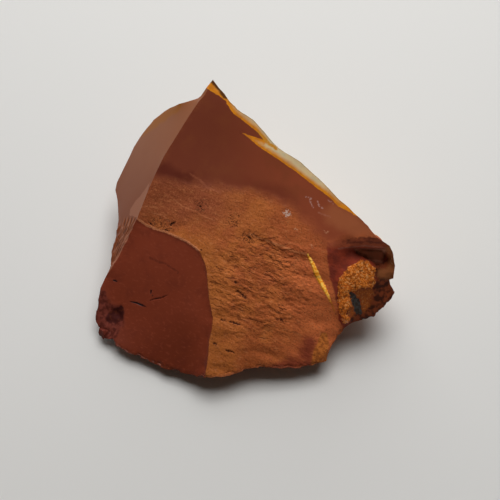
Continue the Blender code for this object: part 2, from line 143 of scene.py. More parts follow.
def inside(spots, ring):
    """How far inside a drawn ring spots are. Outside it, the distance is negative."""
    distance, _ = from_line(spots, ring + ring[:1])
    within = np.zeros(len(spots), bool)
    for (x, y), (next_x, next_y) in zip(ring, ring[1:] + ring[:1]):
        if y != next_y:
            crossed = (spots[:, 1] > y) != (spots[:, 1] > next_y)
            side = x + (spots[:, 1] - y) * (next_x - x) / (next_y - y)
            within ^= crossed & (spots[:, 0] < side)
    return np.where(within, distance, -distance)


def ramp(values, nothing, everything):
    """Rise smoothly from 0 at one value to 1 at the other."""
    part = np.clip((values - nothing) / (everything - nothing), 0, 1)
    return part * part * (3 - 2 * part)


def read(items, name, width=1, kind=np.float32):
    """One property of all of a mesh's corners, edges or faces."""
    values = np.empty(len(items) * width, kind)
    items.foreach_get(name, values)
    return values.reshape(-1, width) if width > 1 else values


def fineness(spots, visible):
    """The longest edge, in millimetres, that the surface may have at each spot."""
    smooth = np.maximum(inside(spots, LEFT_RING), inside(spots, SCAR_RING))
    smooth = np.maximum(smooth, inside(spots, UPPER_RING) - SOFT_BORDER)
    longest = np.where(smooth > CLEAR_BORDER, SMOOTH_TRIANGLE, ROUGH_TRIANGLE)
    longest = np.where(inside(spots, RIB_RING) > 0, FINE_TRIANGLE, longest)
    for line in FINE_LINES:
        distance, _ = from_line(spots, line)
        longest = np.where(distance < FINE_BESIDE, FINE_TRIANGLE, longest)
    return np.where(visible, longest, HIDDEN_TRIANGLE)


stone = bpy.data.objects.new("mookaite_chunk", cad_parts["stone"].data.copy())
mesh = stone.data
bpy.context.scene.collection.objects.link(stone)
bpy.ops.object.select_all(action="DESELECT")
stone.select_set(True)
bpy.context.view_layer.objects.active = stone
bpy.ops.object.mode_set(mode="EDIT")
bpy.ops.mesh.select_mode(type="EDGE")
bpy.ops.mesh.select_all(action="SELECT")
bpy.ops.mesh.remove_doubles(threshold=SAME_PLACE)
bpy.ops.mesh.customdata_custom_splitnormals_clear()
bpy.ops.mesh.faces_shade_smooth()
bpy.ops.mesh.mark_sharp(clear=True)


def corner_places():
    """The stone's corners, in millimetres."""
    return read(mesh.vertices, "co", 3) / MM


def faces_eye(places, normals):
    """Whether each place, with its normal, looks towards the eye."""
    return np.einsum("ij,ij->i", normals, EYE - places) > 0


for _ in range(MOST_SPLITS):
    bpy.ops.object.mode_set(mode="OBJECT")
    places = corner_places()
    normals = read(mesh.vertices, "normal", 3)
    ends = read(mesh.edges, "vertices", 2, np.int32)
    middles = places[ends].mean(axis=1)
    visible = faces_eye(middles, normals[ends].mean(axis=1))
    lengths = np.linalg.norm(places[ends[:, 0]] - places[ends[:, 1]], axis=1)
    too_long = lengths > FINE_TRIANGLE
    longest = fineness(on_sheet(middles[too_long]), visible[too_long])
    too_long[too_long] = lengths[too_long] > longest
    if not too_long.any():
        break
    mesh.polygons.foreach_set("select", np.zeros(len(mesh.polygons), bool))
    mesh.vertices.foreach_set("select", np.zeros(len(mesh.vertices), bool))
    mesh.edges.foreach_set("select", too_long)
    bpy.ops.object.mode_set(mode="EDIT")
    bpy.ops.mesh.subdivide(number_cuts=1)
    bpy.ops.mesh.select_all(action="SELECT")
    bpy.ops.mesh.quads_convert_to_tris(quad_method="SHORTEST_DIAGONAL")
bpy.ops.object.mode_set(mode="EDIT")
bpy.ops.mesh.select_mode(type="EDGE")
bpy.ops.mesh.select_all(action="DESELECT")
bpy.ops.mesh.edges_select_sharp(sharpness=CRISP_EDGE)
bpy.ops.mesh.mark_sharp()
bpy.ops.object.mode_set(mode="OBJECT")

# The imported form's own small facets are smoothed away, a lot on the smooth breaks and a little
# on the rough ones. Crisp edges and the flat spot that it rests on stay where they are.
SMOOTH_ROUNDS = 60
ROUGH_ROUNDS = 16
CLEAR_OF_EDGE = 1.0
ON_TABLE = 0.05
HIDDEN_SHARE = 0.08
VOTES = 6
VOTE_TO_STAY = 0.3
VOTE_TO_JOIN = 0.8
RIB_FACING = -0.3
RIB_INSET = 0.4
RIB_SIDE_INSET = 0.5
RIBS_REACH = 10.0
OVER_EDGE = 3
FAR_STEPS = 7

# How near the eye the upper break lies at the sheet's centre, and how much nearer per
# millimetre across and up. What lies further away there is behind it.
BREAK_DEPTH = 3.9
BREAK_TILT = np.array((0.193, 0.0645))

count = len(mesh.vertices)
places = corner_places()
spots = on_sheet(places)
ends = read(mesh.edges, "vertices", 2, np.int32)
on_table = places[:, 2] < ON_TABLE
links = np.bincount(ends.ravel(), minlength=count)


def away_from(*lines):
    """How far each corner is from the nearest of some drawn lines."""
    return np.min([from_line(spots, line)[0] for line in lines], axis=0)


def on_seen_side():
    """Whether each corner is seen, by the area of its faces and then by its neighbours' votes."""
    corners = read(mesh.polygons, "vertices", 3, np.int32).ravel()
    sizes = np.repeat(read(mesh.polygons, "area"), 3)
    middles = read(mesh.polygons, "center", 3) / MM
    away = np.repeat(~faces_eye(middles, read(mesh.polygons, "normal", 3)), 3)
    facing = np.bincount(corners, sizes * away, count) < HIDDEN_SHARE * np.bincount(corners, sizes)
    share = facing.astype(float)
    for _ in range(VOTES):
        around = np.bincount(ends.ravel(), share[ends[:, ::-1]].ravel(), count)
        share = (around + share) / (1 + links)
    offset = places - SHEET_CENTRE
    upper_depth = BREAK_DEPTH + np.stack((offset @ ACROSS, offset @ UP), axis=1) @ BREAK_TILT
    behind_break = (upper > 0) & (offset @ TOWARD < upper_depth)
    return (facing & (share > VOTE_TO_STAY) | (share > VOTE_TO_JOIN)) & ~behind_break


left = inside(spots, LEFT_RING)
scar = inside(spots, SCAR_RING)
upper = inside(spots, UPPER_RING)
flank = inside(spots, LOBE_RING)
rough = np.minimum.reduce((-left, -scar, -upper, -flank))
on_front = on_seen_side()

held = on_table.copy()
crisp = read(mesh.edges, "use_edge_sharp", 1, bool)
held[ends[crisp].ravel()] = True
held &= ~(on_front & (rough > CLEAR_OF_EDGE))
lean = read(mesh.vertices, "normal", 3) @ TOWARD
on_ribs = (left > RIB_INSET) & (spots[:, 1] < RIBS_REACH) & (lean > RIB_FACING)
on_ribs &= away_from(RIB_SIDE) > RIB_SIDE_INSET
held &= ~on_ribs


def soften(corners, rounds):
    """Even out the surface at some of the stone's corners."""
    mesh.edges.foreach_set("select", np.zeros(len(mesh.edges), bool))
    mesh.polygons.foreach_set("select", np.zeros(len(mesh.polygons), bool))
    mesh.vertices.foreach_set("select", corners)
    bpy.ops.object.mode_set(mode="EDIT")
    bpy.ops.mesh.select_mode(type="VERT")
    bpy.ops.mesh.vertices_smooth(factor=0.5, repeat=rounds)
    bpy.ops.object.mode_set(mode="OBJECT")


soften(~held, ROUGH_ROUNDS)
smooth_breaks = on_front & (np.maximum.reduce((left, scar, upper)) > CLEAR_OF_EDGE) | on_ribs
soften(smooth_breaks & ~held, SMOOTH_ROUNDS)
places = corner_places()
normals = read(mesh.vertices, "normal", 3)
on_front = on_seen_side()
steps_away = np.where(on_front, 0, FAR_STEPS)
for step in range(1, FAR_STEPS):
    beside = ends[(steps_away[ends] < step).any(axis=1)].ravel()
    steps_away[beside] = np.minimum(steps_away[beside], step)
coloured = steps_away <= OVER_EDGE


# The rough middle. Here the chert parted in small overlapping flakes, which slant down to the
# right and grow coarser lower down, with pits where a flake came out whole. It is stained
# rust and ochre, yellower beside the maroon scar and redder to the right. Shade is painted
# into the lower flakes, the thin gaps under the flakes, the pits and the tiny holes.
FLAKE_SLANT = radians(-23)
FLAKE_STRETCH = 2.2
STROKE_STRETCH = 3.0
FLAKE_TILT = 1.3
TILTED_FROM = 0.4
LONG_WAVE = 0.6
LONG_WAVE_PACE = (0.7, 0.9)
SHORT_WAVE = 0.15
SHORT_WAVE_PACE = (2.3, 1.9)
CHANCE_CELLS = 64
CHANCES = np.random.default_rng(7).random((CHANCE_CELLS, CHANCE_CELLS, 3))
ROUGH_BORDER = 1.2
COARSE_MIDDLE = (3.0, -9.5)
COARSE_REACH = (10.5, 11.0)
COARSE_FADE = (1.7, 0.8)
LEAST_COARSE = 0.25

# Each kind of flake has a length, a width and how far it may stand out.
FLAKE_SIZES = ((2.6, 0.8, 0.15), (1.2, 0.45, 0.1))

# Single pits, patches of tiny holes and pale creases, as drawn lines.
MIDDLE_PITS = [
    [(-13.6, 11.7), (-12.8, 11.5)], [(-27.2, 7.5), (-26.1, 6.7)], [(-22.7, 5.5), (-21.9, 5.2)],
    [(-21.6, 6.4), (-20.0, 7.5)], [(-0.8, 3.7), (0.3, 2.9)], [(-4.3, -8.3), (-3.2, -9.1)],
    [(-3.7, -10.4), (-2.4, -11.7), (-0.8, -13.1)], [(-8.0, -18.4), (-6.4, -18.9)],
    [(-5.9, -18.9), (-2.4, -20.0)], [(-6.7, -26.7), (-4.0, -27.5)], [(7.5, -18.1), (9.1, -19.2)],
    [(-9.9, -24.8), (-8.8, -25.1)], [(-13.1, 0.1), (-13.2, -0.1)]]
PIT_DEPTH = 0.4
PIT_HALF = 0.28
POCKED = [
    [(-5.3, 9.2), (-3.2, 6.4)], [(-14.0, 12.5), (-11.7, 11.0)], [(-26.0, 7.4), (-20.5, 5.8)],
    [(-2.0, 4.0), (1.5, 2.5)]]
POCKED_HALF = 1.6
CREASES = [
    [(-29.6, 11.3), (-27.0, 11.7), (-24.6, 11.2)], [(-26.4, 10.0), (-23.2, 9.3), (-21.4, 7.6)],
    [(-20.4, 13.6), (-18.0, 11.6), (-14.4, 10.4)], [(-13.0, 9.2), (-9.5, 7.8)]]
CREASE_HALF = 0.12
RED_FOOT = [(16.0, -24.5), (15.0, -30.0), (6.5, -31.5)]


def flakes(length, width, lift):
    """Flakes that overlap down the slant: how far each corner stands out."""
    slant = np.array((np.cos(FLAKE_SLANT), np.sin(FLAKE_SLANT)))
    aside = np.array((-slant[1], slant[0]))
    uneven = spots + LONG_WAVE * np.sin(spots[:, ::-1] * LONG_WAVE_PACE)
    uneven += SHORT_WAVE * np.sin(spots * SHORT_WAVE_PACE)
    grid = np.stack((uneven @ slant / length, uneven @ aside / width), axis=1)
    cell = np.floor(grid).astype(int)
    nearest = np.full(count, np.inf)
    proud = np.zeros(count)
    for step in np.ndindex(3, 3):
        neighbour = cell + step - (1, 1)
        chance = CHANCES[neighbour[:, 0] % CHANCE_CELLS, neighbour[:, 1] % CHANCE_CELLS]
        gap = grid - neighbour - chance[:, :2]
        distance = np.linalg.norm(gap, axis=1)
        closer = distance < nearest
        nearest[closer] = distance[closer]
        tilt = FLAKE_TILT * gap[:, 1] * (chance[:, 2] > TILTED_FROM)
        proud[closer] = (lift * (chance[:, 2] - 0.5 - tilt))[closer]
    return proud


def off_marks(lines, half_width):
    """How far each corner is from the edge of the nearest of some marks, which thin out."""
    gaps = []
    for line in lines:
        away, along = from_line(spots, line)
        gaps.append(away - half_width * np.sqrt(np.clip(4 * along * (1 - along), 0, 1)))
    return np.min(gaps, axis=0)


def grooves(lines, half_width):
    """From 0 to 1, how deep in a set of drawn grooves each corner is."""
    return ramp(off_marks(lines, half_width), 0, -half_width) * on_front


from_coarse = np.linalg.norm((spots - COARSE_MIDDLE) / COARSE_REACH, axis=1)
coarse = LEAST_COARSE + (1 - LEAST_COARSE) * ramp(from_coarse, *COARSE_FADE)
rise = sum(flakes(*sizes) for sizes in FLAKE_SIZES)
rise *= ramp(rough, 0.0, ROUGH_BORDER) * on_front * coarse
rise -= PIT_DEPTH * grooves(MIDDLE_PITS, PIT_HALF)


class Shade:
    """A number or colour in the stone's material, which can be added, multiplied and so on."""

    tree = None

    def __init__(self, socket):
        self.socket = socket

    @classmethod
    def node(cls, kind, settings, sockets, output=0):
        """Add a node, with its settings first and then what its sockets hold or are fed."""
        made = cls.tree.nodes.new(kind)
        for name, setting in settings.items():
            setattr(made, name, setting)
        for name, value in sockets.items():
            if isinstance(value, Shade):
                cls.tree.links.new(value.socket, made.inputs[name])
            else:
                made.inputs[name].default_value = value
        return cls(made.outputs[output])

    @classmethod
    def maths(cls, operation, *values):
        """One step of arithmetic."""
        return cls.node("ShaderNodeMath", {"operation": operation}, dict(enumerate(values)))

    def __add__(self, other):
        return Shade.maths("ADD", self, other)

    def __sub__(self, other):
        return Shade.maths("SUBTRACT", self, other)

    def __rsub__(self, other):
        return Shade.maths("SUBTRACT", other, self)

    def __mul__(self, other):
        return Shade.maths("MULTIPLY", self, other)

    __radd__ = __add__
    __rmul__ = __mul__


def between(value, nothing, everything):
    """Rise smoothly from 0 at one value to 1 at the other, in the material."""
    return Shade.node(
        "ShaderNodeMapRange", {"interpolation_type": "SMOOTHSTEP"},
        {"Value": value, "From Min": nothing, "From Max": everything})


def over(below, above, cover):
    """Lay one colour over another, as much as cover says."""
    return Shade.node(
        "ShaderNodeMix", {"data_type": "RGBA"}, {0: cover, 6: below, 7: above}, output=2)


def level(below, above, cover):
    """Go from one number to another, as much as cover says."""
    return Shade.node("ShaderNodeMix", {"data_type": "FLOAT"}, {0: cover, 2: below, 3: above})


def grain(size, detail=3.0, harsh=0.5, pattern=None):
    """Cloudy noise from 0 to 1 with blotches of about this many millimetres."""
    return Shade.node(
        "ShaderNodeTexNoise", {},
        {"Vector": pattern or stone_place, "Scale": 1 / (size * MM), "Detail": detail,
         "Roughness": harsh})


def slanted(stretch):
    """The place on the stone, drawn out along the slant of the flakes."""
    along = ACROSS * np.cos(FLAKE_SLANT) + UP * np.sin(FLAKE_SLANT)
    turn = Vector((1, 0, 0)).rotation_difference(Vector(along)).to_euler()
    return Shade.node(
        "ShaderNodeMapping", {"vector_type": "TEXTURE"},
        {"Vector": stone_place, "Rotation": turn, "Scale": (stretch, 1, 1)})


def clouds(below, above, size, edge, cover=1.0, detail=3.0, pattern=None):
    """Cloud one colour with another, where the noise crosses the two values of edge."""
    return over(below, above, cover * between(grain(size, detail, pattern=pattern), *edge))


def mark(name, values):
    """Keep a number at each corner of the stone, and read it in the material."""
    kept = mesh.attributes.new(name, "FLOAT", "POINT")
    kept.data.foreach_set("value", values.astype(np.float32))
    return Shade.node("ShaderNodeAttribute", {"attribute_name": name}, {}, output=2)


def frayed(number, fray, size, detail=3.0):
    """A number that noise carries up and down, by up to half of fray."""
    return number + fray * (grain(size, detail) - 0.5)


def drawn(name, distances, edge, fray=0.0, size=1.0, detail=3.0):
    """From 0 to 1 as distances, frayed by noise, go from one value of edge to the other."""
    here = mark(name, distances)
    return between(frayed(here, fray, size, detail) if fray else here, *edge)


# A colour is given as it looks in full light, which returns this share of it and adds a sheen.
FULL_LIGHT = 0.645
SHEEN = 0.0045
DARKEST = 0.001


def tint(red, green, blue):
    """The stone's own colour, for how it looks, in steps from 0 to 255 on the screen's curve."""
    seen_light = ((np.array((red, green, blue)) / 255 + 0.055) / 1.055) ** 2.4
    return (*np.maximum((seen_light - SHEEN) / FULL_LIGHT, DARKEST), 1)


RUST = tint(152, 79, 40)
OCHRE_RUST = tint(165, 92, 44)
YELLOW_RUST = tint(156, 89, 39)
DULL_RUST = tint(129, 66, 41)
BRIGHT_RUST = tint(184, 96, 54)
RED_RUST = tint(162, 81, 45)
BRICK = tint(108, 52, 29)
PALE_FLAKE = tint(176, 108, 66)
SUNKEN_FLAKE_SHADE = tint(90, 41, 22)
FLAKE_GAP_SHADOW = tint(94, 42, 20)
PIT_SHADE = tint(58, 26, 15)
POCK_SHADE = tint(76, 35, 20)
PALE_CREASE = tint(176, 108, 70)
DARK_SPECK = tint(84, 38, 22)
PALE_SPECK = tint(186, 120, 76)
FOOT_RED = tint(112, 46, 32)

material = bpy.data.materials.new("mookaite")
material.use_nodes = True
Shade.tree = material.node_tree
stone_place = Shade.node("ShaderNodeTexCoord", {}, {}, output=3)
flake_place = slanted(FLAKE_STRETCH)
stroke_place = slanted(STROKE_STRETCH)

coarse_here = mark("coarse", coarse)
across_here = mark("across", spots[:, 0])
up_here = mark("up", spots[:, 1])

paint = clouds(RUST, OCHRE_RUST, 5.0, (0.38, 0.62))
beside_scar = drawn("low_scar_edge", away_from(SCAR_EDGE[5:]), (8.0, 1.5), fray=4.0, size=3.0)
paint = over(paint, YELLOW_RUST, 0.75 * beside_scar)
at_the_top = between(frayed(up_here, 4.0, 4.0), 2.0, 12.0) * between(across_here, 4.0, -14.0)
paint = over(paint, DULL_RUST, 0.85 * at_the_top)
to_the_right = between(frayed(across_here, 4.0, 4.0), 0.0, 18.0)
right_red = over(BRIGHT_RUST, RED_RUST, between(up_here, -12.0, 6.0))
paint = over(paint, right_red, 0.8 * to_the_right)
paint = clouds(paint, BRICK, 0.9, (0.5, 0.66), 0.4 * coarse_here, detail=4.0, pattern=flake_place)
paint = clouds(paint, PALE_FLAKE, 0.7, (0.56, 0.7), 0.4, pattern=flake_place)
# The lower flakes are darkened: painted shade in the dips of the flake relief.
paint = over(paint, SUNKEN_FLAKE_SHADE, 0.55 * drawn("flake_height", rise, (-0.08, -0.2)))
# Thin dark strokes along the slant are painted shadow under the flakes' lower edges; the bump sinks
# them too.
shadowed_strokes = between(grain(0.7, pattern=stroke_place), 0.45, 0.35) * between(grain(2.6), 0.4, 0.54)
shadowed_strokes = shadowed_strokes * coarse_here
paint = over(paint, FLAKE_GAP_SHADOW, 0.7 * shadowed_strokes)
# The pits are painted dark: painted shade inside them.
pits = drawn("middle_pits", off_marks(MIDDLE_PITS, PIT_HALF), (0.15, -0.15), fray=1.4, size=0.5)
paint = over(paint, PIT_SHADE, 0.85 * pits)
# The tiny holes are painted dark where the bump sinks them: painted shade in the holes.
pocked = drawn("pocked", off_marks(POCKED, POCKED_HALF), (1.2, -0.4), fray=2.0, size=1.5)
shaded_pocks = between(grain(0.42), 0.47, 0.36) * pocked
paint = over(paint, POCK_SHADE, 0.55 * shaded_pocks)
creases = drawn("creases", off_marks(CREASES, CREASE_HALF), (0.2, -0.05), fray=0.5, size=0.5)
paint = over(paint, PALE_CREASE, 0.5 * creases)
paint = clouds(paint, DARK_SPECK, 0.4, (0.44, 0.34), cover=0.4, detail=2.0)
paint = clouds(paint, PALE_SPECK, 0.4, (0.58, 0.7), cover=0.3, detail=2.0)
near_foot = drawn("red_foot", away_from(RED_FOOT), (3.7, 0.1), fray=5.0, size=3.0, detail=4.0)
paint = over(paint, FOOT_RED, 0.85 * near_foot)
dull = level(0.72, 0.82, grain(1.5))
flake_backs = between(grain(1.3, detail=2.0, pattern=flake_place), 0.56, 0.44) * coarse_here
grit = 0.12 * grain(0.9, detail=4.0, harsh=0.6, pattern=flake_place) + 0.05 * grain(0.25)
grit = grit + 0.1 * flake_backs - 0.1 * shadowed_strokes - 0.2 * shaded_pocks


# The upper break. It is smooth, dense red-brown chert, slightly dished, with a soft lower
# border where it grows rough, a darker maroon patch at the ridge and an orange right corner.
# A painted highlight runs along a lit edge at its lower border on the left.
LIT_EDGE_STREAK = [(-16.0, 20.3), (-13.3, 18.7), (-11.5, 16.8), (-7.7, 15.2)]
ORANGE_CORNER = [(22.5, 9.5), (26.0, 7.5), (31.0, 4.5)]
MAROON_PATCH = [(-24.6, 22.2), (-20.5, 19.8), (-16.5, 18.6)]
UPPER_RED = tint(113, 55, 38)
WARM_RED = tint(140, 69, 45)
CLOUD_BROWN = tint(122, 64, 40)
PATCH_MAROON = tint(90, 38, 28)
BORDER_MAROON = tint(98, 42, 30)
CORNER_ORANGE = tint(157, 89, 57)
STREAK_HIGHLIGHT = tint(150, 84, 58)

upper_here = mark("upper", upper)
upper_cover = between(frayed(upper_here, 4.0, 3.2, detail=4.0), -2.6, 1.6)
smooth_red = over(UPPER_RED, WARM_RED, between(across_here, -12.0, 14.0))
smooth_red = clouds(smooth_red, CLOUD_BROWN, 6.0, (0.45, 0.7), cover=0.5)
patch = drawn("maroon_patch", away_from(MAROON_PATCH), (3.2, 0.4), fray=2.0, size=2.5)
smooth_red = over(smooth_red, PATCH_MAROON, 0.8 * patch)
near_border = between(frayed(upper_here, 2.0, 3.0), 4.5, 1.2) * between(across_here, -6.0, 6.0)
near_border = near_border * between(across_here, 17.0, 8.0)
smooth_red = over(smooth_red, BORDER_MAROON, 0.5 * near_border)
right_corner = drawn("orange_corner", away_from(ORANGE_CORNER), (4.5, 1.0), fray=2.0, size=2.5)
smooth_red = over(smooth_red, CORNER_ORANGE, 0.9 * right_corner)
paint = over(paint, smooth_red, upper_cover)
# A painted highlight along the lit edge of the fresh fracture.
streak_highlight = drawn("lit_edge_streak", away_from(LIT_EDGE_STREAK), (0.5, -0.1), fray=0.8, size=0.8)
paint = over(paint, STREAK_HIGHLIGHT, 0.55 * streak_highlight)
dull = level(dull, 0.5, upper_cover)
grit = level(grit, 0.008 * grain(0.4), upper_cover)


# The maroon scar. A flake came off the low left corner here and left a smooth surface a
# step down, with a crisp rounded edge that has a thin pale line, and a few short cracks.
CRACK_HALF = 0.2
CRACK_DEPTH = 0.3
FINE_CRACK_HALF = 0.12
FINE_CRACK = CRACKS[1]
FAINT_LINE = [(-26.7, -2.1), (-22.7, -3.7), (-19.2, -5.9)]
LOW_MAROON = tint(101, 43, 27)
HIGH_MAROON = tint(120, 53, 35)
RIGHT_MAROON = tint(118, 52, 33)
CLOUD_MAROON = tint(90, 38, 27)
GRAIN_MAROON = tint(136, 66, 46)
SCAR_RIM_PALE = tint(198, 124, 84)
CRACK_BROWN = tint(42, 14, 10)
FINE_CRACK_BROWN = tint(58, 22, 15)
FAINT_MAROON = tint(80, 34, 25)

rise -= CRACK_DEPTH * grooves(CRACKS, 1.5 * CRACK_HALF)
scar_cover = drawn("scar", scar, (-0.12, 0.12), fray=0.5, size=1.2)
maroon = over(LOW_MAROON, HIGH_MAROON, between(frayed(up_here, 14.0, 7.0), -31.0, 7.0))
maroon = over(maroon, RIGHT_MAROON, 0.6 * between(across_here, -19.0, -12.0))
maroon = clouds(maroon, CLOUD_MAROON, 3.5, (0.45, 0.7), cover=0.35, detail=5.0)
maroon = clouds(maroon, GRAIN_MAROON, 0.6, (0.54, 0.7), 0.35, detail=4.0, pattern=flake_place)
paint = over(paint, maroon, scar_cover)
pale_rim_line = drawn("scar_rim", away_from(SCAR_EDGE[:6]), (0.37, 0.13), fray=0.5, size=0.5)
paint = over(paint, SCAR_RIM_PALE, 0.95 * pale_rim_line)
other_cracks = off_marks([crack for crack in CRACKS if crack != FINE_CRACK], CRACK_HALF)
paint = over(paint, CRACK_BROWN, drawn("cracks", other_cracks, (0.1, -0.05), fray=0.2, size=0.5))
fine_crack = off_marks([FINE_CRACK], FINE_CRACK_HALF)
fine_crack = drawn("second_crack", fine_crack, (0.1, -0.1), fray=0.6, size=0.6)
paint = over(paint, FINE_CRACK_BROWN, 0.8 * fine_crack)
faint_line = drawn("faint_line", away_from(FAINT_LINE), (0.45, 0.05), fray=0.5, size=0.9)
paint = over(paint, FAINT_MAROON, 0.6 * faint_line)
dull = level(dull, 0.5, scar_cover)
grit = level(grit, 0.01 * grain(0.5), scar_cover)


# The glossy left break. It is the freshest, and waxy, so it shines from the side. An old
# golden rind runs along its top edge, and its low end is ribbed beside the long ridge. The rib
# crests and the ridge get a painted highlight, and the rib valleys painted shade.
GOLD_RIM_RING = [
    (-28.6, 30.6), (-26.7, 31.7), (-24.0, 33.9), (-21.3, 35.7), (-19.2, 36.8), (-17.9, 39.6),
    (-24.0, 39.6), (-30.0, 34.0)]
FLAKE_PATCH_RING = [
    (-26.8, 18.0), (-28.6, 15.3), (-30.4, 13.3), (-31.9, 10.9), (-32.1, 9.3), (-29.9, 8.6),
    (-28.0, 12.8)]
RIBS = 6
RIBS_TOP = (8.9, 7.9)
RIBS_BESIDE = (0.8, 0.6)
RIBS_WIDTH = (3.0, 4.5)
RIB_HEIGHT = 0.1
RIB_WOBBLE = 0.8
LEAST_STRIP = 0.01
WAXY_SHINE = 0.03
LOW_BROWN = tint(116, 60, 33)
HIGH_BROWN = tint(130, 78, 49)
RIM_GOLD = tint(136, 79, 25)
PATCH_PALE = tint(144, 90, 64)
RIB_CREST_HIGHLIGHT = tint(142, 92, 70)
RIB_VALLEY_SHADE = tint(66, 34, 23)
RIDGE_HIGHLIGHT = tint(158, 104, 82)

left_here = mark("left", left)
left_cover = between(left_here, -0.05, 0.12)
glossy = over(LOW_BROWN, HIGH_BROWN, between(frayed(up_here, 10.0, 9.0), 7.0, 37.0))
gold_rim = drawn("gold_rim", inside(spots, GOLD_RIM_RING), (-0.6, 0.4), fray=0.8, size=2.0)
glossy = over(glossy, RIM_GOLD, 0.95 * gold_rim)
flake_patch = drawn("flake_patch", inside(spots, FLAKE_PATCH_RING), (-0.12, 0.12))
glossy = over(glossy, PATCH_PALE, 0.8 * flake_patch)
to_ridge = away_from(RIDGE)
strip_width = to_ridge + away_from(RIB_SIDE) + LEAST_STRIP
rib_share = to_ridge / strip_width
ribbed = ramp(spots[:, 1], *RIBS_TOP) * ramp(rib_share, *RIBS_BESIDE) * (left > 0)
raised = ribbed * ramp(strip_width, *RIBS_WIDTH) * on_front
rise += RIB_HEIGHT * np.cos(2 * np.pi * RIBS * rib_share) * raised
share_here = mark("rib_share", rib_share)
ribbed_here = mark("ribbed", ribbed)
rib = Shade.maths("COSINE", 2 * np.pi * RIBS * share_here + RIB_WOBBLE * grain(3.0))
# Painted highlight on the rib crests and painted shade in the rib valleys, in step with the ribs'
# relief.
glossy = over(glossy, RIB_CREST_HIGHLIGHT, 0.8 * ribbed_here * between(rib, 0.2, 0.9))
glossy = over(glossy, RIB_VALLEY_SHADE, 0.7 * ribbed_here * between(rib, -0.3, -0.9))
# A thin painted highlight along the ridge beside the ribs.
glossy = over(glossy, RIDGE_HIGHLIGHT, 0.7 * ribbed_here * between(left_here, 0.5, 0.2))
paint = over(paint, glossy, left_cover)
dull = level(dull, level(0.48, 0.65, ribbed_here), left_cover)
shine = WAXY_SHINE * left_cover * (1 - ribbed_here)
grit = level(grit, 0.003 * grain(0.5), left_cover)


# The lobe. A maroon flank turns down from the middle, a ledge overhangs a hollow, and the
# lower side of the lobe is dark brown. The ledge's lit edge has a painted highlight, and the
# hollow holds painted shadow: its rim is painted dark, its shaded back paler.
LEDGE_LINE = [(23.5, 0.3), (27.2, 0.8), (30.7, 1.1), (34.7, 0.8), (36.8, 0.4)]
DARK_STRIPES = [[(24.5, 2.2), (28.0, 3.2), (33.5, 3.0)], [(26.0, 1.8), (31.0, 2.2), (35.0, 1.9)]]
BROWN_RIM = [(37.6, 0.0), (38.4, -3.5), (37.4, -6.4), (35.2, -6.2)]
DARK_RING = [
    (33.2, -3.7), (36.0, -2.6), (60, -2.6), (60, -60), (24, -60), (25.1, -21.1), (26.7, -18.3),
    (28.5, -16.5), (29.8, -13.5), (29.9, -10.0), (32.5, -10.0), (33.4, -8.6)]
STAINED = [[(29.0, -11.8), (31.4, -11.6), (30.2, -15.0)], [(27.0, -13.5), (27.0, -16.5)]]
FLANK_RED = tint(138, 56, 37)
FLANK_MAROON = tint(114, 47, 34)
LEDGE_RED = tint(140, 70, 44)
UNDER_BROWN = tint(112, 52, 28)
UNDER_DARK = tint(58, 26, 15)
STAIN_BROWN = tint(140, 72, 34)
STRIPE_DARK = tint(74, 34, 28)
LEDGE_HIGHLIGHT = tint(140, 92, 78)
HOLLOW_RIM_SHADOW = tint(104, 58, 42)
HOLLOW_BACK_PAINTED_LIGHT = tint(184, 124, 98)
RIM_BROWN = tint(140, 84, 48)

flank_cover = drawn("flank", flank, (-0.3, 0.3), fray=0.8, size=1.5) * (1 - left_cover)
dark_red = clouds(FLANK_RED, FLANK_MAROON, 2.5, (0.4, 0.62), detail=4.0)
dark_red = over(dark_red, LEDGE_RED, 0.8 * between(frayed(up_here, 1.5, 1.5), 0.05, 1.45))
dark_brown = clouds(UNDER_BROWN, UNDER_DARK, 1.6, (0.42, 0.6), detail=4.0)
underside = drawn("dark_corner_ring", inside(spots, DARK_RING), (-0.8, 0.8), fray=2.0, size=1.8)
dark_red = over(dark_red, dark_brown, underside)
stained_here = mark("stained", away_from(*STAINED))
dark_red = over(dark_red, STAIN_BROWN, 0.85 * between(frayed(stained_here, 2.4, 1.1), 1.8, 0.4))
paint = over(paint, dark_red, flank_cover)
stripes = away_from(*DARK_STRIPES)
stripes = drawn("ledge_stripes", stripes, (0.5, -0.05), fray=1.5, size=0.9, detail=4.0)
paint = over(paint, STRIPE_DARK, 0.6 * stripes)
# A painted highlight along the ledge's lit edge.
ledge = drawn("ledge_line", away_from(LEDGE_LINE), (0.35, 0.05), fray=0.5, size=0.8)
paint = over(paint, LEDGE_HIGHLIGHT, 0.45 * ledge)
hollow_here = mark("hollow", inside(spots, HOLLOW_RING))
# Painted shadow in the hollow: its rim is painted dark, and its back paler where its own shade
# already darkens it.
paint = over(paint, HOLLOW_RIM_SHADOW, between(hollow_here, -0.12, 0.12))
paint = over(paint, HOLLOW_BACK_PAINTED_LIGHT, between(frayed(hollow_here, 0.6, 1.0), 0.0, 1.3))
brown_rim = drawn("brown_rim", away_from(BROWN_RIM), (2.0, 0.7), fray=1.2, size=1.2)
paint = over(paint, RIM_BROWN, 0.85 * brown_rim)


# The ochre crust. It is a thin layer of weathered, grainy ochre in the corner below the
# ledge, thinned to a stain at its edge, with one teal-black spot of dense silica.
CRUST_HEIGHT = 0.35
CRUST_SLOPE = (-0.1, 0.5)
CRUST_GRAIN = 0.42
CRUST_OCHRE = tint(208, 122, 48)
CRUST_RUST = tint(172, 86, 28)
CRUST_PALE = tint(222, 156, 94)
CRUST_GAP = tint(108, 54, 22)
STAIN_DARK = tint(112, 54, 24)
SPOT_BLACK = tint(54, 44, 38)
SPOT_TEAL = tint(66, 62, 60)

